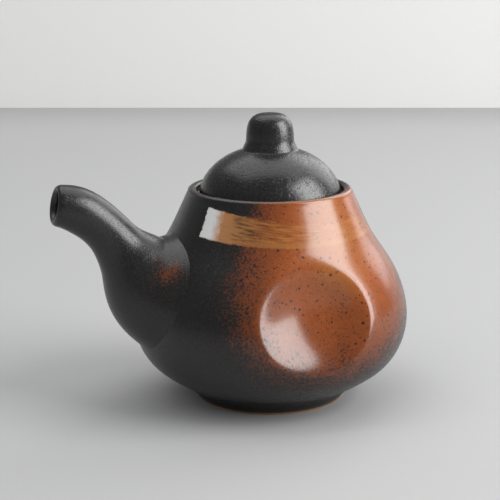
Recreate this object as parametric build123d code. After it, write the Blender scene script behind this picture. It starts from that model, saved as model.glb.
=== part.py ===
from build123d import *
import math
import os

os.makedirs("parts", exist_ok=True)

# A lidded stoneware server without a handle: a pear-shaped thrown body with a finger dimple
# pressed into each side, a gourd-shaped pouring spout luted to it, an applied foot ring, and
# a domed lid that drops inside the rim.
#
# Millimetres, +Z up. The origin is the centre of the foot's resting plane. The spout points
# along -X and the two dimples face -Y and +Y.

# Foot ring
FOOT_HEIGHT = 4.8
FOOT_REST_RADIUS = 28.0
FOOT_FLARE = 2.2
FOOT_WIDTH = 5.5
FOOT_ROUND = 0.7

# Thrown body, outside
BASE_LIP = 0.8
HIP_HEIGHT = 14.8
HIP_INSET = 6.1
BASE_SPREAD = 1.6
BELLY_HEIGHT = 31.0
BELLY_RADIUS = 52.0
SHOULDER_DROP = 27.2
SHOULDER_INSET = 6.9
NECK_DROP = 16.3
NECK_RADIUS = 37.9
RIM_HEIGHT = 80.3
RIM_RADIUS = 30.3
RIM_LEAN = 0.42

# Thrown body, inside
WALL = 4.0
FLOOR = 4.5
FLOOR_FLAT_SHARE = 0.6
RIM_THICKNESS = 2.7
RIM_ROUND = 1.1
LEDGE_DEPTH = 3.2
LEDGE_WIDTH = 5.0
LEDGE_THICKNESS = 3.2
LEDGE_SLOPE_DROP = 8.0

# Finger dimples
DIMPLE_RADIUS = 19.0
DIMPLE_DEPTH = 5.5
DIMPLE_RISE = 8.7
DIMPLE_SET_IN = 5.7
DIMPLE_LEAN = 14.8
DIMPLE_ROUND = 3.0

# Spout
SPOUT_ROOT_HEIGHT = 44.0
SPOUT_REACH = 29.5
SPOUT_MOUTH_DROP = 1.8
SPOUT_WALL = 3.4
SPOUT_LIP_WALL = 2.9
SPOUT_LIP_ROUND = 1.35
POUR_HOLE_RADIUS = 8.0

# Each station of the spout, from its root inside the belly's wall to its mouth: how far out
# it lies and how high, as shares of the way to the mouth, how far its axis leans from level
# in degrees, and the half height and half width of the outside there.
SPOUT_STATIONS = (
    (-0.77, -0.12, 16, 22.4, 25.2),
    (-0.28, 0.00, 19, 21.4, 24.2),
    (-0.15, 0.05, 23, 19.8, 21.2),
    (0.00, 0.21, 40, 16.1, 16.3),
    (0.09, 0.395, 53, 12.4, 12.4),
    (0.195, 0.505, 53, 10.1, 10.1),
    (0.31, 0.635, 52, 8.8, 8.8),
    (0.46, 0.78, 45, 8.4, 8.4),
    (0.69, 0.925, 30, 8.4, 8.4),
    (0.87, 0.985, 17, 7.8, 7.8),
    (1.00, 1.00, 9, 7.1, 7.1),
)

# Lid
LID_GAP = 1.2
LID_CROWN_RISE = 15.5
LID_CURVE_HEIGHT = 19.6
LID_CURVE_EXTRA = 0.3
LID_WALL = 4.0
LID_FLANGE_WIDTH = 8.0
LID_FLANGE_THICKNESS = 3.6
LID_EDGE_ROUND = 0.8
COLLAR_GAP = 0.7
COLLAR_WALL = 3.0
COLLAR_DEPTH = 6.5

# Knob
KNOB_HEIGHT = 27.7
KNOB_RADIUS = 9.1
KNOB_TAPER = 0.4
KNOB_CORNER = 5.6
KNOB_CROWN = 0.5
KNOB_FLARE = 1.9
KNOB_WAIST_RISE = 2.85
KNOB_FLARE_SLOPE = 0.8
KNOB_SIDE_SLOPE = 0.05
KNOB_CROWN_SLOPE = 0.15

# How far a cutting rod runs past the clay that it cuts
CUT_PAST = 1.0

# Sizes that follow from the ones above
BASE_RADIUS = FOOT_REST_RADIUS + FOOT_FLARE + BASE_LIP
RIM_INNER_RADIUS = RIM_RADIUS - RIM_THICKNESS
LEDGE_HEIGHT = RIM_HEIGHT - LEDGE_DEPTH
THROAT_RADIUS = RIM_INNER_RADIUS - LEDGE_WIDTH
THROAT_BOTTOM = LEDGE_HEIGHT - LEDGE_THICKNESS
LID_RADIUS = RIM_INNER_RADIUS - LID_GAP
LID_CROWN_HEIGHT = RIM_HEIGHT + LID_CROWN_RISE
LID_HOLLOW_RADIUS = LID_RADIUS - LID_FLANGE_WIDTH
COLLAR_RADIUS = THROAT_RADIUS - COLLAR_GAP
KNOB_SEAT_RADIUS = KNOB_RADIUS + KNOB_FLARE


def at(radius, height):
    """A point of the section plane through the axis."""
    return Vector(radius, 0, height)


def turned(*edges):
    """The solid of revolution of a closed outline about the pot's axis."""
    return revolve(make_face(Curve() + list(edges)), Axis.Z)


def body_wall_line():
    """The outside of the thrown wall, from the edge of the base up to the rim."""
    return Spline(
        at(BASE_RADIUS, FOOT_HEIGHT),
        at(BELLY_RADIUS - HIP_INSET, HIP_HEIGHT),
        at(BELLY_RADIUS, BELLY_HEIGHT),
        at(BELLY_RADIUS - SHOULDER_INSET, RIM_HEIGHT - SHOULDER_DROP),
        at(NECK_RADIUS, RIM_HEIGHT - NECK_DROP),
        at(RIM_RADIUS, RIM_HEIGHT),
        tangents=[(BASE_SPREAD, 0, 1), (-RIM_LEAN, 0, 1)],
    )


def body_outside():
    """The thrown body as a full solid, before it is hollowed."""
    wall = body_wall_line()
    axis_foot, axis_top = at(0, FOOT_HEIGHT), at(0, RIM_HEIGHT)
    return turned(
        Line(axis_foot, wall @ 0),
        wall,
        Line(wall @ 1, axis_top),
        Line(axis_top, axis_foot),
    )


def inner_wall_point(line, share):
    """The point of the inside wall that faces the outside wall at a share of its length."""
    along = (line % share).normalized()
    return (line @ share) + Vector(-along.Z, 0, along.X) * WALL


def body_hollow():
    """The room inside the body, up to the slope under the ledge."""
    wall = body_wall_line()
    slope_foot = RIM_HEIGHT - LEDGE_DEPTH - LEDGE_SLOPE_DROP
    top_share = wall.param_at_point(point_at_height(wall, slope_foot))
    floor = FOOT_HEIGHT + FLOOR
    inside = [inner_wall_point(wall, share * top_share) for share in (0.2, 0.4, 0.6, 0.8, 1)]
    floor_edge = at(inside[0].X * FLOOR_FLAT_SHARE, floor)
    line = Spline(floor_edge, *inside, tangents=[(1, 0, 0), wall % top_share])
    throat = at(THROAT_RADIUS, THROAT_BOTTOM)
    return turned(
        Line(at(0, floor), floor_edge),
        line,
        Line(line @ 1, throat),
        Line(throat, at(0, THROAT_BOTTOM)),
        Line(at(0, THROAT_BOTTOM), at(0, floor)),
    )


def point_at_height(line, height):
    """The point of the wall line at a height, found by halving."""
    low, high = 0.0, 1.0
    for _ in range(40):
        middle = (low + high) / 2
        if (line @ middle).Z < height:
            low = middle
        else:
            high = middle
    return line @ low


def upright(radius, low, high):
    """An upright round rod on the pot's axis."""
    return Pos(0, 0, low) * extrude(Circle(radius), high - low)


def dimple_ball(side, extra=0.0):
    """The ball that presses a finger dimple into one side; extra makes room for the wall."""
    ball = (DIMPLE_RADIUS**2 + DIMPLE_DEPTH**2) / (2 * DIMPLE_DEPTH)
    lean = math.radians(DIMPLE_LEAN)
    back = ball - DIMPLE_DEPTH
    out = BELLY_RADIUS - DIMPLE_SET_IN + back * math.cos(lean)
    up = BELLY_HEIGHT + DIMPLE_RISE + back * math.sin(lean)
    return Pos(0, side * out, up) * Sphere(ball + extra)


def dented_outside():
    """The body's outside with both dimples pressed in and their edges softened."""
    body = body_outside()
    for side in (-1, 1):
        ball = dimple_ball(side)
        dented = body - ball
        edge = dented.edges().filter_by(lambda e, s=side: is_dimple_edge(e, s))
        body = fillet(edge, DIMPLE_ROUND)
    return body


def is_dimple_edge(edge, side):
    """Whether an edge is the outline of the dimple on one side."""
    middle = edge.center(CenterOf.BOUNDING_BOX)
    clear_of_axis = side * middle.Y > BELLY_RADIUS / 2
    return clear_of_axis and edge.length > DIMPLE_RADIUS


def spout_planes():
    """The section plane, outer half sizes and wall of each station of the spout."""
    rise = RIM_HEIGHT - SPOUT_MOUTH_DROP - SPOUT_ROOT_HEIGHT
    stations = []
    for out, up, lean, half_height, half_width in SPOUT_STATIONS:
        angle = math.radians(lean)
        centre = (-BELLY_RADIUS - out * SPOUT_REACH, 0, SPOUT_ROOT_HEIGHT + up * rise)
        plane = Plane(centre, x_dir=(0, 1, 0), z_dir=(-math.cos(angle), 0, math.sin(angle)))
        wall = SPOUT_LIP_WALL if out == 1 else SPOUT_WALL
        stations.append((plane, half_width, half_height, wall))
    return stations


def spout_form(hollow):
    """The spout's outside, or the room inside it, as a full solid."""
    sections = []
    for plane, half_width, half_height, wall in spout_planes():
        less = wall if hollow else 0
        sections.append(plane * Ellipse(half_width - less, half_height - less))
    return loft(sections)


def pour_hole():
    """The round hole through the body's wall behind the spout."""
    start = Plane((-BELLY_RADIUS / 2, 0, SPOUT_ROOT_HEIGHT), x_dir=(0, 1, 0), z_dir=(-1, 0, 0))
    return extrude(start * Circle(POUR_HOLE_RADIUS), BELLY_RADIUS)


def make_vessel_body(outside):
    """The hollow thrown body, with the ledge that carries the lid inside its rim."""
    room = body_hollow()
    for side in (-1, 1):
        room -= dimple_ball(side, WALL)
    body = outside - room - pour_hole()
    body -= upright(THROAT_RADIUS, THROAT_BOTTOM - CUT_PAST, RIM_HEIGHT + CUT_PAST)
    body -= upright(RIM_INNER_RADIUS, LEDGE_HEIGHT, RIM_HEIGHT + CUT_PAST)
    rim = body.faces().sort_by(Axis.Z)[-1]
    return fillet(rim.edges(), RIM_ROUND)


def make_spout(outside):
    """The hollow spout, cut to meet the body's wall."""
    shell = spout_form(False) - spout_form(True)
    mouth = shell.faces().sort_by(Axis.X)[0]
    shell = fillet(mouth.edges(), SPOUT_LIP_ROUND)
    pieces = (shell - outside).solids()
    return pieces.sort_by(Axis.X)[0]


def make_foot_ring():
    """The applied ring that the pot stands on, flaring up to the base."""
    inner = FOOT_REST_RADIUS - FOOT_WIDTH
    top = FOOT_REST_RADIUS + FOOT_FLARE
    corners = [at(inner, 0), at(FOOT_REST_RADIUS, 0), at(top, FOOT_HEIGHT), at(inner, FOOT_HEIGHT)]
    ring = turned(*[Line(a, b) for a, b in zip(corners, corners[1:] + corners[:1])])
    resting = ring.faces().sort_by(Axis.Z)[0]
    return fillet(resting.edges(), FOOT_ROUND)


def dome_arc(half_width, half_height, crown, from_radius, to_radius=0.0):
    """Part of an upright oval's outline, from one radius in and up to a smaller one."""
    start, end = math.acos(from_radius / half_width), math.acos(to_radius / half_width)
    turns = [start + (end - start) * share for share in (0, 0.35, 0.7, 1)]
    points = [
        at(half_width * math.cos(turn), crown + half_height * (math.sin(turn) - 1))
        for turn in turns
    ]
    if to_radius == 0:
        points[-1] = at(0, crown)
    rises = [(-half_width * math.sin(turn), 0, half_height * math.cos(turn)) for turn in (start, end)]
    return Spline(*points, tangents=rises)


def dome_outside_arc(from_radius, to_radius=0.0):
    """The dome's outside between two radii."""
    half_width = LID_RADIUS + LID_CURVE_EXTRA
    return dome_arc(half_width, LID_CURVE_HEIGHT, LID_CROWN_HEIGHT, from_radius, to_radius)


def make_lid_dome():
    """The hollow dome with the thick flange that rests on the ledge."""
    outside = dome_outside_arc(LID_RADIUS, KNOB_SEAT_RADIUS)
    seat = dome_outside_arc(KNOB_SEAT_RADIUS)
    inside_crown = LID_CROWN_HEIGHT - LID_WALL
    inside_height = inside_crown - LEDGE_HEIGHT - LID_FLANGE_THICKNESS / 2
    inside = dome_arc(LID_HOLLOW_RADIUS, inside_height, inside_crown, LID_HOLLOW_RADIUS)
    inner_corner, outer_corner = at(LID_HOLLOW_RADIUS, LEDGE_HEIGHT), at(LID_RADIUS, LEDGE_HEIGHT)
    dome = turned(
        Line(inner_corner, outer_corner),
        Line(outer_corner, outside @ 0),
        outside,
        seat,
        Line(seat @ 1, inside @ 1),
        inside,
        Line(inside @ 0, inner_corner),
    )
    seated = dome.faces().sort_by(Axis.Z)[0]
    return fillet(seated.edges(), LID_EDGE_ROUND)


def make_lid_collar():
    """The locating ring under the dome that keeps the lid centred in the throat."""
    low = LEDGE_HEIGHT - COLLAR_DEPTH
    ring = upright(COLLAR_RADIUS, low, LEDGE_HEIGHT)
    ring -= upright(COLLAR_RADIUS - COLLAR_WALL, low - CUT_PAST, LEDGE_HEIGHT + CUT_PAST)
    lowest = ring.faces().sort_by(Axis.Z)[0]
    return fillet(lowest.edges(), COLLAR_WALL / 4)


def make_lid_knob():
    """The round-topped knob, flared a little where it is luted to the dome."""
    seat = dome_outside_arc(KNOB_SEAT_RADIUS)
    top = RIM_HEIGHT + KNOB_HEIGHT
    neck_radius = KNOB_RADIUS - KNOB_TAPER
    waist = at(KNOB_RADIUS, (seat @ 0).Z + KNOB_WAIST_RISE)
    corner_start = at(neck_radius, top - KNOB_CROWN - KNOB_CORNER)
    corner_end = at(neck_radius - KNOB_CORNER, top - KNOB_CROWN / 2)
    crown = at(0, top)
    crown_edge, side = (1, 0, -KNOB_CROWN_SLOPE), (KNOB_SIDE_SLOPE, 0, -1)
    return turned(
        seat,
        Line(seat @ 1, crown),
        Spline(crown, corner_end, tangents=[(1, 0, 0), crown_edge]),
        Spline(corner_end, corner_start, tangents=[crown_edge, side]),
        Line(corner_start, waist),
        Spline(waist, seat @ 0, tangents=[side, (1, 0, -KNOB_FLARE_SLOPE)]),
    )


def main():
    """Build each piece and write it to its own file."""
    outside = dented_outside()
    pieces = {
        "vessel_body": make_vessel_body(outside),
        "spout": make_spout(outside),
        "foot_ring": make_foot_ring(),
        "lid_dome": make_lid_dome(),
        "lid_collar": make_lid_collar(),
        "lid_knob": make_lid_knob(),
    }
    for name, piece in pieces.items():
        export_step(piece, f"parts/{name}.step")
        print(name, round(piece.volume))


main()
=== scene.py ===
import logging
import math
from dataclasses import dataclass
from enum import Enum
from typing import Any, Sequence

import bmesh
import bpy
import numpy as np
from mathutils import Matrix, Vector


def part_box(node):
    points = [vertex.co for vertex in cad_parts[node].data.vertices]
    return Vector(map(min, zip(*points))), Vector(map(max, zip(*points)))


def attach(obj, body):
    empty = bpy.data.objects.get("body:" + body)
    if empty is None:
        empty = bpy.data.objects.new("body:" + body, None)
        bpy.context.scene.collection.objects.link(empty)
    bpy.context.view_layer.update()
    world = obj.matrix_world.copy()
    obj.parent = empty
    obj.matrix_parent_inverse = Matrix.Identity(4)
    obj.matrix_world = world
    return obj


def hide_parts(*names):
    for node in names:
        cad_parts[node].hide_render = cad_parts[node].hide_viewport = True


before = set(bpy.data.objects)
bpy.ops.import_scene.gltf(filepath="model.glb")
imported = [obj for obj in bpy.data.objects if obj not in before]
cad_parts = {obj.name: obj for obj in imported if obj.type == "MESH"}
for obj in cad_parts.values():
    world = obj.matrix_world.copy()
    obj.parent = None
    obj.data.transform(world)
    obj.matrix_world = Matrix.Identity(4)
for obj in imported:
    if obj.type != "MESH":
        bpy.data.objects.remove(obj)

# A lidded stoneware server without a handle, in metres, +Z up. The foot's centre is the origin,
# the spout points along -X and a finger dimple faces -Y and another +Y. Outlines are written in
# millimetres as (radius, height) pairs and are turned to metres when a mesh is made.

MM = 0.001
LOG = logging.getLogger("sake_server")
NO_STROKE = -50.0

Outline = Sequence[tuple[float, float]]
Colour = tuple[float, float, float, float]


class Side(Enum):
    """The side of the pot that a dimple is pressed into, as the sign of Y."""

    FRONT = -1
    BACK = 1


class Ends(Enum):
    """How the first and last ring of a ringed skin are closed."""

    WELDED = "on the axis, welded to a point"
    LOOPED = "joined to each other"


def linear(code: str) -> Colour:
    """Turn an sRGB hex colour into linear light.

    Args:
        code: six hex digits after a hash.

    Returns:
        Red, green, blue and an alpha of 1.
    """
    parts = [int(code[i : i + 2], 16) / 255 for i in (1, 3, 5)]
    lit = [p / 12.92 if p <= 0.04045 else ((p + 0.055) / 1.055) ** 2.4 for p in parts]
    return (*lit, 1.0)


# ---------------------------------------------------------------------------------------------
# Lines and skins


def spline(knots: np.ndarray, values: np.ndarray, places: np.ndarray) -> np.ndarray:
    """Read a natural cubic spline.

    Args:
        knots: rising positions of the given values.
        values: one row of values for each knot.
        places: positions to read the spline at.

    Returns:
        One row of values for each place.
    """
    count, gaps = len(knots), np.diff(knots)
    system = np.eye(count)
    bend = np.zeros((count, values.shape[1]))
    slopes = np.diff(values, axis=0) / gaps[:, None]
    for i in range(1, count - 1):
        system[i, i - 1 : i + 2] = gaps[i - 1], 2 * (gaps[i - 1] + gaps[i]), gaps[i]
        bend[i] = 6 * (slopes[i] - slopes[i - 1])
    curve = np.linalg.solve(system, bend)
    i = np.clip(np.searchsorted(knots, places, side="right") - 1, 0, count - 2)
    gap = gaps[i][:, None]
    after = (places - knots[i])[:, None] / gap
    before = 1 - after
    straight = before * values[i] + after * values[i + 1]
    return straight + ((before**3 - before) * curve[i] + (after**3 - after) * curve[i + 1]) * gap**2 / 6


def smooth_line(points: Sequence[Sequence[float]], spacing: float) -> np.ndarray:
    """Draw a smooth line through points.

    Args:
        points: the points it passes through, all with as many numbers.
        spacing: about how far apart the drawn points lie, in the same unit.

    Returns:
        The drawn points, one a row, with both ends kept.
    """
    given = np.array(points, float)
    along = np.r_[0, np.cumsum(np.linalg.norm(np.diff(given[:, :2], axis=0), axis=1))]
    count = max(2, math.ceil(along[-1] / spacing) + 1)
    return spline(along, given, np.linspace(0, along[-1], count))


def arc_line(centre: tuple[float, float], radius: float, start: float, end: float) -> np.ndarray:
    """Draw an arc of a rounded edge.

    Args:
        centre: the arc's centre, as radius and height.
        radius: the arc's own radius.
        start: where it starts, in degrees from outwards towards up.
        end: where it ends, in degrees.

    Returns:
        Its points, about every 15 degrees.
    """
    turns = np.radians(np.linspace(start, end, max(3, round(abs(end - start) / 15) + 1)))
    return np.array(centre) + radius * np.c_[np.cos(turns), np.sin(turns)]


def joined(*lines: np.ndarray) -> np.ndarray:
    """Join lines end to end, leaving out a point that repeats the one before it."""
    line = np.vstack(lines)
    steps = np.linalg.norm(np.diff(line, axis=0), axis=1)
    return line[np.r_[True, steps > 1e-6]]


def turned_rings(outline: np.ndarray, segments: int) -> np.ndarray:
    """Turn an outline about the pot's axis.

    Args:
        outline: (radius, height) rows in millimetres.
        segments: points round each ring.

    Returns:
        Points in millimetres, indexed by ring and by place round it, starting at the back.
    """
    turns = np.linspace(-math.pi, math.pi, segments, endpoint=False)
    radius, height = outline[:, :1], outline[:, 1:]
    level = np.broadcast_to(height, (len(outline), segments))
    return np.stack([radius * np.sin(turns), -radius * np.cos(turns), level], axis=-1)


def skin(name: str, rings: np.ndarray, ends: Ends) -> bpy.types.Object:
    """Make a smooth closed mesh from rings of points.

    Args:
        name: the piece's name.
        rings: points in millimetres, indexed by ring and by place round it.
        ends: how the first and last rings are closed.

    Returns:
        The new object, linked to the scene.
    """
    count, segments = rings.shape[:2]
    last = count if ends is Ends.LOOPED else count - 1
    ring, place = np.meshgrid(np.arange(last), np.arange(segments), indexing="ij")
    above, beside = (ring + 1) % count, (place + 1) % segments
    corners = [ring * segments + place, ring * segments + beside]
    corners += [above * segments + beside, above * segments + place]
    mesh = bpy.data.meshes.new(name)
    mesh.from_pydata((rings.reshape(-1, 3) * MM).tolist(), [], np.stack(corners, -1).reshape(-1, 4).tolist())
    shape = bmesh.new()
    shape.from_mesh(mesh)
    bmesh.ops.remove_doubles(shape, verts=shape.verts, dist=1e-7)
    bmesh.ops.recalc_face_normals(shape, faces=shape.faces)
    shape.to_mesh(mesh)
    shape.free()
    mesh.shade_smooth()
    piece = bpy.data.objects.new(name, mesh)
    bpy.context.scene.collection.objects.link(piece)
    return piece


def points_of(piece: bpy.types.Object) -> np.ndarray:
    """The piece's vertices in millimetres, one a row."""
    flat = np.zeros(len(piece.data.vertices) * 3, np.float32)
    piece.data.vertices.foreach_get("co", flat)
    return flat.reshape(-1, 3).astype(float) / MM


def paint(piece: bpy.types.Object, name: str, values: np.ndarray) -> None:
    """Store one number or vector for each vertex, for the glaze to read.

    Args:
        piece: the piece to paint.
        name: what the glaze calls it.
        values: one number, or one row of three, for each vertex.
    """
    kind, key = ("FLOAT", "value") if values.ndim == 1 else ("FLOAT_VECTOR", "vector")
    layer = piece.data.attributes.new(name, kind, "POINT")
    layer.data.foreach_set(key, values.astype(np.float32).ravel())


def dress(
    piece: bpy.types.Object, body: str, nodes: Sequence[str], finish: bpy.types.Material
) -> None:
    """Give a piece its finish and body, and hide the construction nodes that it replaces.

    Args:
        piece: the piece.
        body: the moving body that it rides on.
        nodes: the construction nodes that it replaces.
        finish: its material.
    """
    piece.data.materials.append(finish)
    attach(piece, body)
    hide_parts(*nodes)
    LOG.info("%s: %d faces on body %s", piece.name, len(piece.data.polygons), body)


def ramp(value: np.ndarray, start: float, end: float) -> np.ndarray:
    """Rise smoothly from 0 at start to 1 at end."""
    share = np.clip((value - start) / (end - start), 0, 1)
    return share * share * (3 - 2 * share)


# ---------------------------------------------------------------------------------------------
# Finishes. A MapRange's inputs 0 to 4 are its value, the range it comes from and the range it
# goes to, and a Mix's inputs 0, 6 and 7 are the share and its two colours.


def add_node(
    tree: bpy.types.NodeTree, kind: str, inputs: dict[Any, Any] | None = None, **settings: Any
) -> bpy.types.Node:
    """Add one shader node with its settings and links.

    Args:
        tree: the node tree.
        kind: the node's kind without its common prefix.
        inputs: for each input's name or number, a value, a socket, or a node whose first output
            is meant.
        **settings: the node's own properties.

    Returns:
        The new node.
    """
    node = tree.nodes.new("ShaderNode" + kind)
    for key, value in settings.items():
        setattr(node, key, value)
    for key, source in (inputs or {}).items():
        if isinstance(source, bpy.types.Node):
            source = source.outputs[0]
        if isinstance(source, bpy.types.NodeSocket):
            tree.links.new(source, node.inputs[key])
        else:
            node.inputs[key].default_value = source
    return node


def blank_material(name: str) -> tuple[bpy.types.Material, bpy.types.NodeTree]:
    """Start a material with an empty node tree.

    Args:
        name: the material's name.

    Returns:
        The material and its tree.
    """
    material = bpy.data.materials.new(name)
    material.use_nodes = True
    material.node_tree.nodes.clear()
    return material, material.node_tree


@dataclass(frozen=True)
class StonewareGlaze:
    """Iron-orange satin glaze over a charcoal one, on thrown and reduction-fired stoneware.

    The charcoal glaze is full of small round pits, which break its sheen into grains like salt
    on dark stone. Where the iron glaze lies over it the surface turns warm and smooth, with a
    tighter, brighter highlight, and breaks into dark pepper towards its edge. Iron in the clay
    bleeds through as small dark spots. The pits are a little larger than real ones, because
    those would be too fine to show.
    """

    name: str
    grain_mm: float = 0.7
    grain_depth_mm: float = 0.05
    iron_grain: float = 0.2
    charcoal_roughness: float = 0.3
    iron_roughness: float = 0.2
    charcoal_dark: str = "#0a0a0a"
    charcoal_light: str = "#1f1f1e"
    iron_edge: str = "#2b1710"
    iron_deep: str = "#5e2d13"
    iron_bright: str = "#84431b"
    iron_pale: str = "#8c5425"
    pepper: str = "#120d0b"
    slip_white: str = "#cdcecd"
    slip_tan: str = "#b98253"
    slip_ochre: str = "#93602f"
    rim_brown: str = "#3f3a34"
    clay: str = "#8f6440"
    ior: float = 1.55
    pit_roughness: float = 0.3
    spot_shake_mm: float = 1.1
    # the cell's size in millimetres, the largest spot's radius in cells, the share with no spot
    spots: tuple[tuple[float, float, float], ...] = ((0.9, 0.36, 0.3), (1.7, 0.36, 0.4), (4.0, 0.17, 0.6))

    def material(self) -> bpy.types.Material:
        """Build the glaze's node tree.

        Returns:
            The material.
        """
        material, tree = blank_material(self.name)
        place = add_node(tree, "TexCoord").outputs["Object"]
        charcoal = self.charcoal(tree, place)
        iron, cover = self.iron(tree, place)
        colour = add_node(tree, "Mix", {0: cover, 6: charcoal, 7: iron}, data_type="RGBA").outputs[2]
        colour = self.iron_spots(tree, place, colour)
        colour, slip = self.brush_stroke(tree, place, colour)
        colour = self.worn_edges(tree, place, colour)
        smooth = add_node(tree, "Math", {0: cover, 1: slip}, operation="MAXIMUM")
        pits = self.pits(tree, place, smooth)
        even = add_node(
            tree,
            "MapRange",
            {0: smooth, 3: self.charcoal_roughness, 4: self.iron_roughness},
        )
        rough = add_node(tree, "Math", {0: pits, 1: self.pit_roughness, 2: even}, operation="MULTIPLY_ADD")
        shader = add_node(
            tree,
            "BsdfPrincipled",
            {"Base Color": colour, "Roughness": rough, "IOR": self.ior},
        )
        grain = {"Strength": 1.0, "Distance": self.grain_depth_mm * MM, "Height": pits}
        tree.links.new(add_node(tree, "Bump", grain, invert=True).outputs[0], shader.inputs["Normal"])
        add_node(tree, "OutputMaterial", {"Surface": shader})
        return material

    def charcoal(self, tree: bpy.types.NodeTree, place: bpy.types.NodeSocket) -> bpy.types.NodeSocket:
        """The colour of the charcoal glaze: dark, with a finer and lighter grain over soft clouds.

        Args:
            tree: the node tree.
            place: the point on the pot, in metres.

        Returns:
            The colour's socket.
        """
        grain = add_node(
            tree, "TexNoise", {"Vector": place, "Scale": 1 / (self.grain_mm * MM), "Detail": 3.0}
        )
        clouds = add_node(tree, "TexNoise", {"Vector": place, "Scale": 60.0, "Detail": 2.0})
        both = add_node(tree, "Math", {0: clouds, 1: 0.35, 2: grain}, operation="MULTIPLY_ADD")
        share = add_node(tree, "MapRange", {0: both, 1: 0.5, 2: 0.95})
        dark, light = linear(self.charcoal_dark), linear(self.charcoal_light)
        return add_node(tree, "Mix", {0: share, 6: dark, 7: light}, data_type="RGBA").outputs[2]

    def iron(
        self, tree: bpy.types.NodeTree, place: bpy.types.NodeSocket
    ) -> tuple[bpy.types.NodeSocket, bpy.types.Node]:
        """The colour of the iron glaze, and how much of it covers the charcoal.

        Args:
            tree: the node tree.
            place: the point on the pot, in metres.

        Returns:
            The colour's socket and the node that gives its cover from 0 to 1.
        """
        depth = add_node(tree, "Attribute", attribute_name="iron").outputs["Fac"]
        fine = add_node(
            tree, "TexNoise", {"Vector": place, "Scale": 1 / (0.8 * MM), "Detail": 6.0, "Roughness": 0.7}
        )
        broad = add_node(tree, "TexNoise", {"Vector": place, "Scale": 1 / (9 * MM), "Detail": 2.0})
        frayed = add_node(tree, "Math", {0: fine, 1: 1.6, 2: depth}, operation="MULTIPLY_ADD")
        frayed = add_node(tree, "Math", {0: broad, 1: 0.3, 2: frayed}, operation="MULTIPLY_ADD")
        cover = add_node(tree, "MapRange", {0: frayed, 1: 0.96, 2: 1.14})
        deep = add_node(tree, "Math", {0: depth, 1: 0.7}, operation="POWER")
        deep = add_node(tree, "Math", {0: deep, 1: 0.6}, operation="MULTIPLY")
        tone = add_node(tree, "Math", {0: broad, 1: 0.15, 2: deep}, operation="MULTIPLY_ADD")
        mottle = add_node(tree, "Math", {0: fine, 1: 0.45, 2: tone}, operation="MULTIPLY_ADD")
        colours = add_node(tree, "ValToRGB", {0: mottle})
        stops = (
            (0.32, self.iron_edge),
            (0.50, self.iron_deep),
            (0.74, self.iron_bright),
            (0.92, self.iron_pale),
        )
        for stop, _ in stops[1:-1]:
            colours.color_ramp.elements.new(stop)
        for element, (stop, code) in zip(colours.color_ramp.elements, stops):
            element.position = stop
            element.color = linear(code)
        return colours.outputs[0], cover

    def brush_stroke(
        self, tree: bpy.types.NodeTree, place: bpy.types.NodeSocket, under: bpy.types.NodeSocket
    ) -> tuple[bpy.types.NodeSocket, bpy.types.Node]:
        """The broad stroke of slip round the shoulder, white where the brush was set down.

        Args:
            tree: the node tree.
            place: the point on the pot, in metres.
            under: the colour under the stroke.

        Returns:
            The colour with the stroke on it, and the node that gives the white slip's cover.
        """
        stroke = add_node(tree, "Attribute", attribute_name="stroke").outputs["Vector"]
        parts = add_node(tree, "SeparateXYZ", {0: stroke})
        across, along = parts.outputs[0], parts.outputs[1]
        ragged = add_node(tree, "TexNoise", {"Vector": place, "Scale": 1 / (1.6 * MM), "Detail": 3.0})
        edge = add_node(tree, "Math", {0: ragged, 1: 0.10, 2: across}, operation="MULTIPLY_ADD")
        above_low = add_node(tree, "MapRange", {0: edge, 1: 0.03, 2: 0.08})
        below_top = add_node(tree, "MapRange", {0: edge, 1: 1.08, 2: 1.03})
        start = add_node(tree, "Math", {0: ragged, 1: 3.0, 2: along}, operation="MULTIPLY_ADD")
        begun = add_node(tree, "MapRange", {0: start, 1: 1.0, 2: 1.8})
        inside = add_node(tree, "Math", {0: above_low, 1: below_top}, operation="MULTIPLY")
        inside = add_node(tree, "Math", {0: inside, 1: begun}, operation="MULTIPLY")
        bristles = add_node(tree, "CombineXYZ", {0: across, 1: along})
        stretch = add_node(tree, "VectorMath", {0: bristles, 1: (1.0, 0.008, 1.0)}, operation="MULTIPLY")
        streaks = add_node(tree, "TexNoise", {"Vector": stretch, "Scale": 13.0, "Detail": 5.0})
        fading = add_node(tree, "MapRange", {0: start, 1: 9.0, 2: 40.0, 3: 0.75, 4: 0.3})
        lifted = add_node(tree, "MapRange", {0: start, 1: 112.0, 2: 158.0})
        fading = add_node(tree, "Math", {0: lifted, 1: -0.7, 2: fading}, operation="MULTIPLY_ADD")
        thin = add_node(tree, "Math", {0: streaks, 1: 1.3, 2: fading}, operation="MULTIPLY_ADD")
        tan_cover = add_node(tree, "MapRange", {0: thin, 1: 0.78, 2: 1.18, 4: 0.85})
        low_line = add_node(tree, "MapRange", {0: edge, 1: 0.42, 2: 0.2, 3: 0.0, 4: 0.6})
        low_line = add_node(tree, "Math", {0: low_line, 1: lifted}, operation="SUBTRACT")
        tan_cover = add_node(tree, "Math", {0: tan_cover, 1: low_line}, operation="MAXIMUM")
        tan_cover = add_node(tree, "Math", {0: tan_cover, 1: inside}, operation="MULTIPLY")
        ochre = add_node(tree, "MapRange", {0: start, 1: 10.0, 2: 30.0})
        tans = {0: ochre, 6: linear(self.slip_tan), 7: linear(self.slip_ochre)}
        slip = add_node(tree, "Mix", tans, data_type="RGBA").outputs[2]
        colour = add_node(tree, "Mix", {0: tan_cover, 6: under, 7: slip}, data_type="RGBA").outputs[2]
        blob = add_node(tree, "Math", {0: ragged, 1: 6.0, 2: along}, operation="MULTIPLY_ADD")
        white = add_node(tree, "MapRange", {0: blob, 1: 17.0, 2: 9.5})
        white = add_node(tree, "Math", {0: white, 1: inside}, operation="MULTIPLY")
        whites = {0: white, 6: colour, 7: linear(self.slip_white)}
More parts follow.
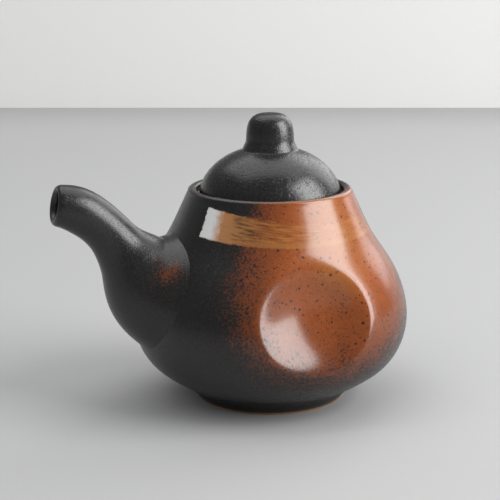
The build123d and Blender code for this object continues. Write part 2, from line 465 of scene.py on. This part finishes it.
        return add_node(tree, "Mix", whites, data_type="RGBA").outputs[2], tan_cover

    def iron_spots(
        self, tree: bpy.types.NodeTree, place: bpy.types.NodeSocket, under: bpy.types.NodeSocket
    ) -> bpy.types.NodeSocket:
        """Ragged dark spots of iron, one to a cell: many small ones and a few of a millimetre.

        Args:
            tree: the node tree.
            place: the point on the pot, in metres.
            under: the colour that they lie on.

        Returns:
            The colour with the spots on it.
        """
        colour = under
        noise = add_node(tree, "TexNoise", {"Vector": place, "Scale": 1 / (0.7 * MM), "Detail": 3.0})
        middle = {0: noise.outputs["Color"], 1: (0.5, 0.5, 0.5)}
        shake = add_node(tree, "VectorMath", middle, operation="SUBTRACT")
        moved = {0: shake, 1: (self.spot_shake_mm * MM,) * 3, 2: place}
        shaken = add_node(tree, "VectorMath", moved, operation="MULTIPLY_ADD")
        for cell_mm, largest, share in self.spots:
            cells = add_node(tree, "TexVoronoi", {"Vector": shaken, "Scale": 1 / (cell_mm * MM)})
            chance = add_node(tree, "SeparateColor", {0: cells.outputs["Color"]})
            size = add_node(tree, "MapRange", {0: chance, 1: share, 2: 1.0, 3: -0.05, 4: largest})
            reach = add_node(tree, "Math", {0: size, 1: cells.outputs["Distance"]}, operation="SUBTRACT")
            spot = add_node(tree, "MapRange", {0: reach, 1: -0.05, 2: 0.12, 4: 0.85})
            dark = linear(self.pepper)
            colour = add_node(tree, "Mix", {0: spot, 6: colour, 7: dark}, data_type="RGBA").outputs[2]
        return colour

    def worn_edges(
        self, tree: bpy.types.NodeTree, place: bpy.types.NodeSocket, under: bpy.types.NodeSocket
    ) -> bpy.types.NodeSocket:
        """Thin glaze that breaks brown on a lip, and bare clay where none was put.

        Args:
            tree: the node tree.
            place: the point on the pot, in metres.
            under: the glaze's colour.

        Returns:
            The colour with both on it.
        """
        grain = add_node(tree, "TexNoise", {"Vector": place, "Scale": 1 / (0.9 * MM), "Detail": 3.0})
        colour = under
        for name, code, soft in (("thin", self.rim_brown, 0.35), ("bare", self.clay, 0.12)):
            amount = add_node(tree, "Attribute", attribute_name=name).outputs["Fac"]
            ragged = add_node(tree, "Math", {0: grain, 1: 0.5, 2: amount}, operation="MULTIPLY_ADD")
            cover = add_node(tree, "MapRange", {0: ragged, 1: 0.75 - soft, 2: 0.75 + soft})
            layers = {0: cover, 6: colour, 7: linear(code)}
            colour = add_node(tree, "Mix", layers, data_type="RGBA").outputs[2]
        return colour

    def pits(
        self, tree: bpy.types.NodeTree, place: bpy.types.NodeSocket, smooth: bpy.types.Node
    ) -> bpy.types.Node:
        """The glaze's round pinholes, one to a cell, which break up its highlights.

        Args:
            tree: the node tree.
            place: the point on the pot, in metres.
            smooth: how far the iron glaze has filled them, from 0 to 1.

        Returns:
            The node that gives their depth from 0 to 1.
        """
        cells = add_node(tree, "TexVoronoi", {"Vector": place, "Scale": 1 / (self.grain_mm * MM)})
        chance = add_node(tree, "SeparateColor", {0: cells.outputs["Color"]})
        hole = add_node(tree, "MapRange", {0: cells.outputs["Distance"], 1: 0.55, 2: 0.1})
        holes = add_node(tree, "Math", {0: hole, 1: chance}, operation="MULTIPLY")
        filled = add_node(tree, "MapRange", {0: smooth, 3: 1.0, 4: self.iron_grain})
        return add_node(tree, "Math", {0: holes, 1: filled}, operation="MULTIPLY")


@dataclass(frozen=True)
class BareStoneware:
    """Unglazed fired stoneware, wiped with a sponge: a dry sandy tan with darker grit and no shine."""

    name: str
    grit_mm: float = 0.7
    pale: str = "#a98868"
    dark: str = "#6f5138"
    roughness: float = 0.82

    def material(self) -> bpy.types.Material:
        """Build the clay's node tree.

        Returns:
            The material.
        """
        material, tree = blank_material(self.name)
        place = add_node(tree, "TexCoord").outputs["Object"]
        grit = add_node(tree, "TexNoise", {"Vector": place, "Scale": 1 / (self.grit_mm * MM), "Detail": 4.0})
        share = add_node(tree, "MapRange", {0: grit, 1: 0.35, 2: 0.7})
        tones = {0: share, 6: linear(self.dark), 7: linear(self.pale)}
        colour = add_node(tree, "Mix", tones, data_type="RGBA").outputs[2]
        bump = add_node(tree, "Bump", {"Strength": 0.6, "Distance": 0.08 * MM, "Height": grit})
        shader = add_node(
            tree,
            "BsdfPrincipled",
            {"Base Color": colour, "Roughness": self.roughness, "Normal": bump},
        )
        add_node(tree, "OutputMaterial", {"Surface": shader})
        return material


@dataclass(frozen=True)
class PaintedBoard:
    """Matte painted studio board: a plain pale grey with a faint roller texture."""

    name: str
    colour: str
    grain_mm: float = 2.5

    def material(self) -> bpy.types.Material:
        """Build the board's node tree.

        Returns:
            The material.
        """
        material, tree = blank_material(self.name)
        place = add_node(tree, "TexCoord").outputs["Object"]
        grain = add_node(
            tree, "TexNoise", {"Vector": place, "Scale": 1 / (self.grain_mm * MM), "Detail": 3.0}
        )
        tone = linear(self.colour)
        darker = tuple(0.97 * part for part in tone[:3]) + (1.0,)
        colour = add_node(tree, "Mix", {0: grain, 6: darker, 7: tone}, data_type="RGBA").outputs[2]
        shader = add_node(tree, "BsdfPrincipled", {"Base Color": colour, "Roughness": 0.75})
        add_node(tree, "OutputMaterial", {"Surface": shader})
        return material


# ---------------------------------------------------------------------------------------------
# The pot


@dataclass
class VesselBody:
    """The thrown body: pear-shaped, hollow, with a ledge inside its rim and a dimple each side.

    All sizes are in millimetres.
    """

    foot_height: float
    rim_height: float
    segments: int = 320
    spacing: float = 0.8
    wall: float = 4.0
    floor: float = 4.5
    rim_inner: float = 27.6
    rim_round: float = 1.35
    ledge_depth: float = 3.2
    throat: float = 22.5
    ledge_thickness: float = 3.2
    dimple_radius: float = 19.0
    dimple_depth: float = 5.5
    dimple_height: float = 39.7
    dimple_chord: float = 46.3
    dimple_lean: float = 14.8
    dimple_round: float = 5.0
    pour_radius: float = 8.0
    pour_height: float = 44.0
    # the iron glaze's oval: where its middle lies, how it leans, and its reach in degrees
    iron_turn: float = 5.0
    iron_lean: float = 0.3
    iron_left: float = 56.0
    iron_right: float = 70.0
    iron_top: float = 62.0
    iron_drop: float = 49.0
    # the brush stroke's lower and upper edge, in millimetres, at some turns in degrees
    stroke_turns: tuple[float, ...] = (-62, -32, 0, 60)
    stroke_low: tuple[float, ...] = (66.9, 65.5, 64.6, 65.0)
    stroke_high: tuple[float, ...] = (76.9, 75.0, 72.4, 71.5)
    stroke_start: float = -64.0
    stroke_end: float = 100.0

    def wall_line(self) -> np.ndarray:
        """Draw the outside of the wall.

        Returns:
            Its points, from the crease above the foot up to the rim's rounding.
        """
        foot, rim = self.foot_height, self.rim_height
        return smooth_line(
            (
                (29.65, foot - 2.1),
                (30.1, foot - 1.0),
                (31.5, foot + 0.2),
                (34.7, foot + 1.95),
                (39.4, foot + 4.8),
                (45.8, foot + 10.0),
                (50.0, foot + 16.8),
                (51.95, foot + 25.7),
                (51.6, rim - 43.7),
                (49.6, rim - 36.2),
                (45.1, rim - 27.2),
                (39.0, rim - 18.2),
                (34.4, rim - 9.2),
                (30.75, rim - 1.2),
            ),
            self.spacing,
        )

    def outer_radius(self, heights: np.ndarray) -> np.ndarray:
        """The undented outer radius at some heights.

        Args:
            heights: heights in millimetres.

        Returns:
            The radius at each.
        """
        line = self.wall_line()
        return np.interp(heights, line[:, 1], line[:, 0])

    def inner_line(self) -> np.ndarray:
        """Draw the inside of the wall and the floor.

        Returns:
            Their points, from the slope under the ledge down to the middle of the floor.
        """
        line = self.wall_line()
        along = np.gradient(line, axis=0)
        along /= np.linalg.norm(along, axis=1)[:, None]
        inside = line + self.wall * np.c_[-along[:, 1], along[:, 0]]
        floor = self.foot_height + self.floor
        slope_foot = self.rim_height - self.ledge_depth - 8.0
        kept = inside[(inside[:, 1] > floor + 1.5) & (inside[:, 1] < slope_foot)][::-1]
        corner = kept[-1]
        bottom = smooth_line(
            (corner, (corner[0] - 3.2, floor + 0.6), (corner[0] * 0.6, floor), (0.0, floor)),
            self.spacing * 2,
        )
        return joined(kept[::2], bottom)

    def rim_line(self) -> np.ndarray:
        """Draw the rounded rim, the ledge that carries the lid, and the slope under it.

        Returns:
            Their points, from the outside in.
        """
        top, ledge = self.rim_height, self.rim_height - self.ledge_depth
        thickness = ledge - self.ledge_thickness
        outer = self.wall_line()[-1]
        middle = (outer[0] + self.rim_inner) / 2
        half = (outer[0] - self.rim_inner) / 2
        crest = [
            (middle + half * math.cos(turn), outer[1] + (top - outer[1]) * math.sin(turn))
            for turn in np.linspace(0, math.pi, 13)
        ]
        return joined(
            np.array(crest),
            arc_line((self.rim_inner - 0.5, ledge + 0.5), 0.5, 0, -90),
            arc_line((self.throat + 0.5, ledge - 0.5), 0.5, 90, 180),
            arc_line((self.throat + 0.5, thickness + 0.5), 0.5, 180, 230),
        )

    def rings(self) -> np.ndarray:
        """Turn the whole skin and press both dimples in.

        Returns:
            Its rings, from the middle of the base round to the middle of the floor.
        """
        outside, rim, inside = self.wall_line(), self.rim_line(), self.inner_line()
        under = np.array([(0.0, self.foot_height), (12.0, self.foot_height), (29.0, self.foot_height)])
        outline = joined(under, outside, rim, inside)
        rings = turned_rings(outline, self.segments)
        outer = slice(len(under), len(under) + len(outside))
        inner = slice(len(outline) - len(inside), len(outline))
        for side in Side:
            rings[outer] = self.pressed(rings[outer], side, 0.0)
            rings[inner] = self.pressed(rings[inner], side, self.wall)
        return rings

    def pressed(self, points: np.ndarray, side: Side, extra: float) -> np.ndarray:
        """Press a ball into the skin, with a soft edge.

        Args:
            points: points of the skin, in millimetres.
            side: the side that the ball comes from.
            extra: added to the ball's radius, for the inside of the wall.

        Returns:
            The points, moved towards the axis where the ball reaches past them.
        """
        depth = self.dimple_depth
        ball = (self.dimple_radius**2 + depth**2) / (2 * depth)
        lean = math.radians(self.dimple_lean)
        centre_y = side.value * (self.dimple_chord + (ball - depth) * math.cos(lean))
        centre_z = self.dimple_height + (ball - depth) * math.sin(lean)
        radius = np.maximum(np.hypot(points[..., 0], points[..., 1]), 1e-6)
        toward = points[..., 1] / radius * centre_y
        reach = toward**2 - centre_y**2 - (points[..., 2] - centre_z) ** 2 + (ball + extra) ** 2
        hit = np.where(reach > 0, toward - np.sqrt(np.maximum(reach, 0)), 1e3)
        hit = np.where(toward > 0, hit, 1e3)
        blend = np.clip(0.5 + 0.5 * (hit - radius) / self.dimple_round, 0, 1)
        soft = hit * (1 - blend) + radius * blend - self.dimple_round * blend * (1 - blend)
        moved = points.copy()
        moved[..., :2] *= (soft / radius)[..., None]
        return moved

    def cut_pour_hole(self, piece: bpy.types.Object) -> None:
        """Cut the round hole behind the spout through the wall.

        Args:
            piece: the body.
        """
        reach = self.outer_radius(np.array([self.pour_height]))[0]
        turns = np.linspace(0, 2 * math.pi, 48, endpoint=False)
        ring = np.stack([0 * turns, np.cos(turns), np.sin(turns)], -1) * self.pour_radius
        ends = [(-reach + 12.0, 0.0), (-reach + 12.0, 1.0), (-reach - 8.0, 1.0), (-reach - 8.0, 0.0)]
        rings = [ring * size + (x, 0, self.pour_height) for x, size in ends]
        cutter = skin("pour_hole_cutter", np.array(rings), Ends.WELDED)
        cut = piece.modifiers.new("pour_hole", "BOOLEAN")
        cut.operation, cut.solver, cut.object = "DIFFERENCE", "EXACT", cutter
        drilled = bpy.data.meshes.new_from_object(piece.evaluated_get(bpy.context.evaluated_depsgraph_get()))
        piece.modifiers.clear()
        piece.data = drilled
        bpy.data.objects.remove(cutter)
        drilled.set_sharp_from_angle(angle=math.radians(50))

    def glaze(self, piece: bpy.types.Object) -> None:
        """Say where each glaze lies on the body.

        The iron glaze covers the front right, in a leaning oval round the front dimple that runs
        on up to the rim, and a fainter blush lies round the back one.

        Args:
            piece: the body.
        """
        x, y, z = points_of(piece).T
        turn = np.degrees(np.arctan2(x, -y))
        leaning = turn - self.iron_turn - self.iron_lean * (z - 25.0)
        leaning /= np.where(leaning < 0, self.iron_left, self.iron_right)
        front = 1 - np.hypot(leaning, np.minimum(z - self.iron_top, 0) / self.iron_drop)
        back_turn = np.degrees(np.arctan2(-x, y))
        back = 0.45 - np.hypot(back_turn / 55.0, (z - 42.0) / 40.0)
        depth = self.outer_radius(z) - np.hypot(x, y)
        inside = ramp(depth, 0.6 * self.wall, 0.9 * self.wall)
        dented = np.hypot(x, z - self.dimple_height) < self.dimple_radius * 1.3
        inside = np.where(dented & (np.abs(y) > self.dimple_chord - 7.5), 0.0, inside)
        inside = np.where(z > self.rim_height - 10, ramp(depth, 1.6, 2.2), inside)
        paint(piece, "iron", np.maximum(np.maximum(front, back), -1) * (1 - inside) - inside)
        low = np.interp(turn, self.stroke_turns, self.stroke_low)
        high = np.interp(turn, self.stroke_turns, self.stroke_high)
        across = (z - low) / (high - low)
        across = np.where(inside > 0.5, -1.0, across)
        along = np.where(turn < self.stroke_end, turn - self.stroke_start, NO_STROKE)
        paint(piece, "stroke", np.c_[across, along, 0 * z])
        rim_top = ramp(z, self.rim_height - 0.9, self.rim_height - 0.1)
        paint(piece, "thin", 0.45 * rim_top)
        ledge = self.rim_height - self.ledge_depth
        on_ledge = (np.abs(z - ledge) < 0.3) & (np.hypot(x, y) < self.rim_inner + 0.1)
        paint(piece, "bare", on_ledge.astype(float))

    def build(self, finish: bpy.types.Material) -> bpy.types.Object:
        """Make the body and dress it.

        Args:
            finish: the body's glaze.

        Returns:
            The piece.
        """
        piece = skin("thrown_body", self.rings(), Ends.WELDED)
        self.cut_pour_hole(piece)
        self.glaze(piece)
        dress(piece, "pot", ["vessel_body"], finish)
        return piece


@dataclass
class Spout:
    """The gourd-shaped pouring spout, luted over the pour hole. Sizes are in millimetres.

    Each station gives the outside of a section: its centre's distance from the pot's axis and its
    height, how far the way out leans from level in degrees, its half height and its half width.
    """

    body: VesselBody
    segments: int = 144
    spacing: float = 0.9
    wall: float = 3.4
    lip_wall: float = 3.1
    lip_reach: float = 2.5
    seam: float = 1.0
    blush_centre: tuple[float, float, float] = (-44.5, -17.0, 54.0)
    blush_reach: tuple[float, float, float] = (15.0, 12.0, 16.0)
    blush_depth: float = 0.17
    blush_fade: float = 0.42
    stations: tuple[tuple[float, float, float, float, float], ...] = (
        (29.3, 39.8, 16, 22.4, 25.2),
        (43.8, 44.0, 19, 21.4, 24.2),
        (47.4, 45.8, 23, 19.8, 21.2),
        (52.0, 51.2, 40, 16.1, 16.3),
        (54.7, 57.6, 53, 12.4, 12.5),
        (57.8, 61.4, 53, 10.1, 10.1),
        (61.1, 65.9, 52, 8.8, 8.8),
        (65.6, 70.9, 45, 8.4, 8.4),
        (72.3, 75.9, 30, 8.4, 8.4),
        (77.0, 77.9, 18, 8.0, 8.0),
        (79.3, 78.4, 11, 7.65, 7.65),
    )

    def sections(self) -> np.ndarray:
        """The outside's sections from the root to the lip, evenly spaced along the spout."""
        return smooth_line(self.stations, self.spacing)

    def ring(self, section: np.ndarray, less: float) -> np.ndarray:
        """One ring of the skin.

        Args:
            section: a row of the sections.
            less: how far inside the outer skin it lies.

        Returns:
            Its points, in millimetres.
        """
        out, height, lean, half_height, half_width = section
        angle = math.radians(lean)
        turns = np.linspace(0, 2 * math.pi, self.segments, endpoint=False)
        rise = (half_height - less) * np.cos(turns)
        aside = (half_width - less) * np.sin(turns)
        x = -out + rise * math.sin(angle)
        return np.stack([x, aside, height + rise * math.cos(angle)], -1)

    def lip(self, section: np.ndarray) -> list[np.ndarray]:
        """The rounded lip, from the outer skin over to the bore.

        Args:
            section: the last section.

        Returns:
            Its rings.
        """
        angle = math.radians(section[2])
        forward = np.array([-math.cos(angle), 0, math.sin(angle)])
        rings = []
        for turn in np.linspace(0, math.pi, 11)[1:-1]:
            less = self.lip_wall / 2 * (1 - math.cos(turn))
            rings.append(self.ring(section, less) + forward * self.lip_reach * math.sin(turn))
        return rings

    def rings(self) -> np.ndarray:
        """Make the whole skin: outside, lip, bore, and the edge buried in the body's wall.

        Returns:
            Its rings, from the root out over the lip and back in.
        """
        sections = self.sections()
        outer = [self.seamed(self.ring(section, 0.0)) for section in sections]
        thinning = np.clip((len(sections) - 1 - np.arange(len(sections))) / 6, 0, 1)
        walls = self.lip_wall + (self.wall - self.lip_wall) * thinning
        inner = [self.ring(section, less) for section, less in zip(sections, walls)]
        buried = [self.buried(ring) for ring in (outer, inner)]
        return np.array(buried[0] + self.lip(sections[-1]) + buried[1][::-1])

    def beyond_wall(self, points: np.ndarray) -> np.ndarray:
        """How far points lie outside the body's outer skin, in millimetres."""
        return np.hypot(points[..., 0], points[..., 1]) - self.body.outer_radius(points[..., 2])

    def seamed(self, ring: np.ndarray) -> np.ndarray:
        """Swell a ring where it nears the body, as clay smoothed into the seam does.

        Args:
            ring: a ring of the outer skin.

        Returns:
            The ring, swollen within the seam's width of the body.
        """
        centre = ring.mean(axis=0)
        outward = ring - centre
        outward /= np.linalg.norm(outward, axis=1)[:, None]
        near = np.clip(self.seam - self.beyond_wall(ring), 0, self.seam)
        return ring + outward * (near**2 / (2 * self.seam))[:, None]

    def buried(self, rings: list[np.ndarray]) -> list[np.ndarray]:
        """Stop a skin inside the body's wall.

        Args:
            rings: the skin's rings, from the root outwards.

        Returns:
            The rings, with what would reach the pot's inside held in the wall.
        """
        limit = -self.body.wall * 0.6
        held = []
        for ring in rings:
            depth = self.beyond_wall(ring)
            radius = np.hypot(ring[:, 0], ring[:, 1])
            grown = np.where(depth < limit, (radius + limit - depth) / radius, 1.0)
            held.append(ring * np.c_[grown, grown, np.ones_like(grown)])
        return held

    def glaze(self, piece: bpy.types.Object) -> None:
        """Say where the iron glaze lies: a blush near the seam, on the side that faces front.

        Args:
            piece: the spout.
        """
        x, y, z = points_of(piece).T
        away = (np.stack([x, y, z], -1) - self.blush_centre) / self.blush_reach
        blush = self.blush_depth - np.linalg.norm(away, axis=1) * self.blush_fade
        paint(piece, "iron", np.maximum(blush, -1))
        paint(piece, "stroke", np.full((len(x), 3), NO_STROKE))
        paint(piece, "thin", 0.35 * ramp(-x, 81.0, 82.2))
        paint(piece, "bare", 0 * x)

    def build(self, finish: bpy.types.Material) -> bpy.types.Object:
        """Make the spout and dress it.

        Args:
            finish: the spout's glaze.

        Returns:
            The piece.
        """
        piece = skin("pouring_spout", self.rings(), Ends.LOOPED)
        self.glaze(piece)
        dress(piece, "pot", ["spout"], finish)
        return piece


@dataclass
class FootRing:
    """The applied ring that the pot stands on, glazed to just above its resting edge."""

    height: float
    rest_radius: float = 28.0
    flare: float = 2.2
    width: float = 5.5
    rounding: float = 0.8
    bare_height: float = 0.8
    segments: int = 256

    def rings(self) -> np.ndarray:
        """Turn the ring's section.

        Returns:
            Its rings, which close on themselves.
        """
        inner, outer, edge = self.rest_radius - self.width, self.rest_radius, self.rounding
        outline = joined(
            arc_line((inner + edge, edge), edge, 180, 270),
            arc_line((outer - edge, edge), edge, 270, 340),
            smooth_line(
                (
                    (outer, 0.9),
                    (outer + 0.5 * self.flare, 2.7),
                    (outer + self.flare - 0.3, self.height),
                ),
                0.4,
            ),
            np.array([(inner, self.height)]),
        )
        return turned_rings(outline, self.segments)

    def build(self, finish: bpy.types.Material) -> bpy.types.Object:
        """Make the foot ring and dress it.

        Args:
            finish: the glaze, which leaves the resting edge bare.

        Returns:
            The piece.
        """
        piece = skin("applied_foot_ring", self.rings(), Ends.LOOPED)
        x, y, z = points_of(piece).T
        within = ramp(self.rest_radius - 1.5 - np.hypot(x, y), 0, 1)
        paint(piece, "iron", np.full(len(x), -1.0))
        paint(piece, "stroke", np.full((len(x), 3), NO_STROKE))
        paint(piece, "thin", 0.5 * ramp(-z, -2.0, -0.8))
        paint(piece, "bare", np.maximum(ramp(-z, -self.bare_height - 0.2, -self.bare_height + 0.3), within))
        dress(piece, "pot", ["foot_ring"], finish)
        return piece


# ---------------------------------------------------------------------------------------------
# The lid


@dataclass
class LidDome:
    """The hollow domed lid with the flange that sits on the ledge. Sizes are in millimetres."""

    seat_height: float
    crown_height: float
    radius: float = 26.4
    curve_height: float = 19.6
    curve_extra: float = 0.3
    edge_round: float = 0.8
    wall: float = 4.0
    flange_width: float = 8.0
    segments: int = 256

    def height_at(self, radius: np.ndarray | float) -> np.ndarray | float:
        """The dome's outer height at a radius, in millimetres."""
        share = np.clip(np.asarray(radius) / (self.radius + self.curve_extra), 0, 1)
        return self.crown_height - self.curve_height * (1 - np.sqrt(1 - share**2))

    def rings(self) -> np.ndarray:
        """Turn the dome's closed section.

        Returns:
            Its rings, from the middle of the hollow out round the edge to the crown.
        """
        reach = self.radius + self.curve_extra
        across = reach * np.cos(np.linspace(math.acos(self.radius / reach), math.pi / 2, 60))
        outside = np.c_[across, self.height_at(across)]
        edge = self.edge_round
        hollow = self.radius - self.flange_width
        crown = self.crown_height - self.wall
        turns = np.linspace(math.pi / 2, 0, 24)
        rise = crown - self.seat_height - 1.8
        inside = np.c_[hollow * np.cos(turns), crown - rise + rise * np.sin(turns)]
        low = self.seat_height
        outline = joined(
            inside,
            arc_line((hollow + edge, low + edge), edge, 180, 270),
            arc_line((self.radius - edge, low + edge), edge, 270, 360),
            outside,
        )
        return turned_rings(outline, self.segments)

    def build(self, finish: bpy.types.Material) -> bpy.types.Object:
        """Make the dome and dress it.

        Args:
            finish: the lid's glaze.

        Returns:
            The piece.
        """
        piece = skin("domed_lid", self.rings(), Ends.WELDED)
        x, y, z = points_of(piece).T
        radius = np.hypot(x, y)
        outside = (z > self.height_at(radius) - 1.2) | (radius > self.radius - 0.2)
        paint(piece, "iron", np.full(len(x), -1.0))
        paint(piece, "stroke", np.full((len(x), 3), NO_STROKE))
        paint(piece, "thin", 0 * x)
        paint(piece, "bare", np.where(outside & (z > self.seat_height + 0.6), 0.0, 1.0))
        dress(piece, "lid", ["lid_dome"], finish)
        return piece


@dataclass
class LidCollar:
    """The locating ring under the dome, left unglazed. Sizes are in millimetres."""

    seat_height: float
    radius: float = 21.8
    wall: float = 3.0
    depth: float = 6.5
    segments: int = 192

    def build(self, finish: bpy.types.Material) -> bpy.types.Object:
        """Make the collar and dress it.

        Args:
            finish: bare clay.

        Returns:
            The piece.
        """
        low, inner, edge = self.seat_height - self.depth, self.radius - self.wall, 0.8
        outline = joined(
            np.array([(inner, self.seat_height + 0.2)]),
            arc_line((inner + edge, low + edge), edge, 180, 270),
            arc_line((self.radius - edge, low + edge), edge, 270, 360),
            np.array([(self.radius, self.seat_height + 0.2)]),
        )
        piece = skin("locating_collar", turned_rings(outline, self.segments), Ends.LOOPED)
        dress(piece, "lid", ["lid_collar"], finish)
        return piece


@dataclass
class LidKnob:
    """The round-topped knob, its clay drawn out into the dome. Sizes are in millimetres."""

    dome: LidDome
    top: float
    radius: float = 9.1
    taper: float = 0.35
    flare: float = 1.7
    corner: float = 6.0
    segments: int = 160

    def rings(self) -> np.ndarray:
        """Turn the knob's outline: its root under the dome's skin, flare, side and crown.

        Returns:
            Its rings, from under the dome's skin up to the top.
        """
        neck = self.radius - self.taper
        root = self.radius + self.flare
        dome = self.dome.height_at
        outline = smooth_line(
            (
                (root + 0.9, dome(root + 0.9) - 0.12),
                (root - 0.3, dome(root - 0.3) + 0.10),
                (self.radius + 0.75, dome(self.radius) + 0.95),
                (self.radius + 0.02, dome(self.radius) + 2.5),
                (self.radius - 0.2, self.top - 9.0),
                (neck - 0.05, self.top - self.corner - 0.4),
                (neck - 0.75, self.top - 3.6),
                (neck - 2.4, self.top - 1.45),
                (neck - 4.9, self.top - 0.3),
                (0.0, self.top),
            ),
            0.35,
        )
        under = np.array([(0.0, outline[0][1] - 1.0), (root - 2.0, outline[0][1] - 1.0)])
        return turned_rings(joined(under, outline), self.segments)

    def build(self, finish: bpy.types.Material) -> bpy.types.Object:
        """Make the knob and dress it.

        Args:
            finish: the lid's glaze.

        Returns:
            The piece.
        """
        piece = skin("round_knob", self.rings(), Ends.WELDED)
        count = len(piece.data.vertices)
        paint(piece, "iron", np.full(count, -1.0))
        paint(piece, "stroke", np.full((count, 3), NO_STROKE))
        paint(piece, "thin", np.zeros(count))
        paint(piece, "bare", np.zeros(count))
        dress(piece, "lid", ["lid_knob"], finish)
        return piece


# ---------------------------------------------------------------------------------------------
# The studio


@dataclass(frozen=True)
class SoftLight:
    """One soft box, placed by its direction from the pot. Sizes are in metres, power in watts.

    A box that isn't mirrored fills the shadows without showing in the glaze.
    """

    name: str
    azimuth: float
    elevation: float
    distance: float
    width: float
    height: float
    power: float
    mirrored: bool = True

    def place(self, target: Vector) -> None:
        """Hang the light and turn it to the pot.

        Args:
            target: the point it faces.
        """
        turn, rise = math.radians(self.azimuth), math.radians(self.elevation)
        level = self.distance * math.cos(rise)
        away = Vector((level * math.sin(turn), -level * math.cos(turn), self.distance * math.sin(rise)))
        lamp = bpy.data.lights.new(self.name, "AREA")
        lamp.shape, lamp.size, lamp.size_y = "RECTANGLE", self.width, self.height
        lamp.energy = self.power
        holder = bpy.data.objects.new(self.name, lamp)
        holder.location = target + away
        holder.rotation_euler = (-away).to_track_quat("-Z", "Y").to_euler()
        holder.visible_camera, holder.visible_glossy = False, self.mirrored
        bpy.context.scene.collection.objects.link(holder)


@dataclass
class Studio:
    """A pale table against a low pale wall, soft boxes round and above the pot, and the camera."""

    camera_azimuth: float = -20.0
    camera_pitch: float = 13.39
    camera_distance: float = 0.560
    aim_height: float = 0.0558
    lens_mm: float = 106.74
    shift: float = -0.04
    table_depth: float = 0.79
    table_width: float = 5.0
    wall_height: float = 0.2
    lights: tuple[SoftLight, ...] = (
        SoftLight("window_box", 54.0, 26.0, 1.15, 0.85, 1.10, 24.0),
        SoftLight("side_panel", 122.0, 24.0, 1.5, 1.1, 1.2, 10.0),
        SoftLight("overhead_fill", 165.0, 70.0, 1.9, 2.6, 2.0, 24.0),
        SoftLight("table_fill", -70.0, 55.0, 1.8, 2.2, 2.0, 20.0, mirrored=False),
    )
    world_colour: str = "#d4d6d8"
    world_strength: float = 0.33
    table_colour: str = "#9c9c9c"
    wall_colour: str = "#d6d6d4"

    def board(self, name: str, corners: Sequence[Vector], finish: bpy.types.Material) -> None:
        """Stand up one flat board of the set.

        Args:
            name: its name.
            corners: its four corners in order.
            finish: its paint.
        """
        mesh = bpy.data.meshes.new(name)
        mesh.from_pydata([tuple(corner) for corner in corners], [], [(0, 1, 2, 3)])
        board = bpy.data.objects.new(name, mesh)
        mesh.materials.append(finish)
        bpy.context.scene.collection.objects.link(board)

    def build_set(self) -> None:
        """The table, and the wall behind it, square to the camera."""
        turn = math.radians(self.camera_azimuth)
        right = Vector((math.cos(turn), math.sin(turn), 0)) * self.table_width / 2
        away = Vector((-math.sin(turn), math.cos(turn), 0))
        near, far = -away * 2.0, away * self.table_depth
        up = Vector((0, 0, self.wall_height))
        table = PaintedBoard("painted_table", self.table_colour).material()
        wall = PaintedBoard("painted_wall", self.wall_colour).material()
        self.board("studio_table", (near - right, near + right, far + right, far - right), table)
        self.board("studio_wall", (far - right, far + right, far + right + up, far - right + up), wall)

    def build_camera(self) -> None:
        """The camera, on the pot's front left and a little above it."""
        turn, pitch = math.radians(self.camera_azimuth), math.radians(self.camera_pitch)
        back = Vector(
            (math.sin(turn) * math.cos(pitch), -math.cos(turn) * math.cos(pitch), math.sin(pitch))
        )
        lens = bpy.data.cameras.new("studio_camera")
        lens.lens, lens.sensor_width, lens.shift_x = self.lens_mm, 36.0, self.shift
        lens.clip_start, lens.clip_end = 0.01, 20.0
        camera = bpy.data.objects.new("studio_camera", lens)
        camera.location = Vector((0, 0, self.aim_height)) + back * self.camera_distance
        camera.rotation_euler = (-back).to_track_quat("-Z", "Y").to_euler()
        bpy.context.scene.collection.objects.link(camera)
        bpy.context.scene.camera = camera

    def build(self) -> None:
        """Light the set, stand it up and place the camera."""
        world = bpy.data.worlds.new("studio_air")
        bpy.context.scene.world = world
        world.use_nodes = True
        sky = world.node_tree.nodes["Background"]
        sky.inputs["Color"].default_value = linear(self.world_colour)
        sky.inputs["Strength"].default_value = self.world_strength
        for light in self.lights:
            light.place(Vector((0, 0, self.aim_height)))
        self.build_set()
        self.build_camera()
        bpy.context.scene.view_settings.view_transform = "Standard"


def corners(bounds: tuple[Vector, Vector]) -> list[list[float]]:
    """A box's two corners as plain lists."""
    return [list(corner) for corner in bounds]


def main() -> None:
    logging.basicConfig(level=logging.INFO, format="%(name)s: %(message)s")
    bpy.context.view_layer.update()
    glaze = StonewareGlaze("iron_over_charcoal_glaze").material()
    lid_glaze = StonewareGlaze(
        "charcoal_lid_glaze", grain_mm=0.8, grain_depth_mm=0.08, charcoal_roughness=0.27
    ).material()
    clay = BareStoneware("bare_stoneware").material()

    foot_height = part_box("foot_ring")[1].z / MM
    rim_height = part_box("vessel_body")[1].z / MM
    body = VesselBody(foot_height, rim_height)
    body.build(glaze)
    Spout(body).build(glaze)
    FootRing(foot_height).build(glaze)

    seat_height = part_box("lid_dome")[0].z / MM
    dome = LidDome(seat_height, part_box("lid_dome")[1].z / MM)
    dome.build(lid_glaze)
    LidCollar(seat_height).build(clay)
    LidKnob(dome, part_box("lid_knob")[1].z / MM).build(lid_glaze)

    Studio().build()


if __name__ == "__main__":
    main()
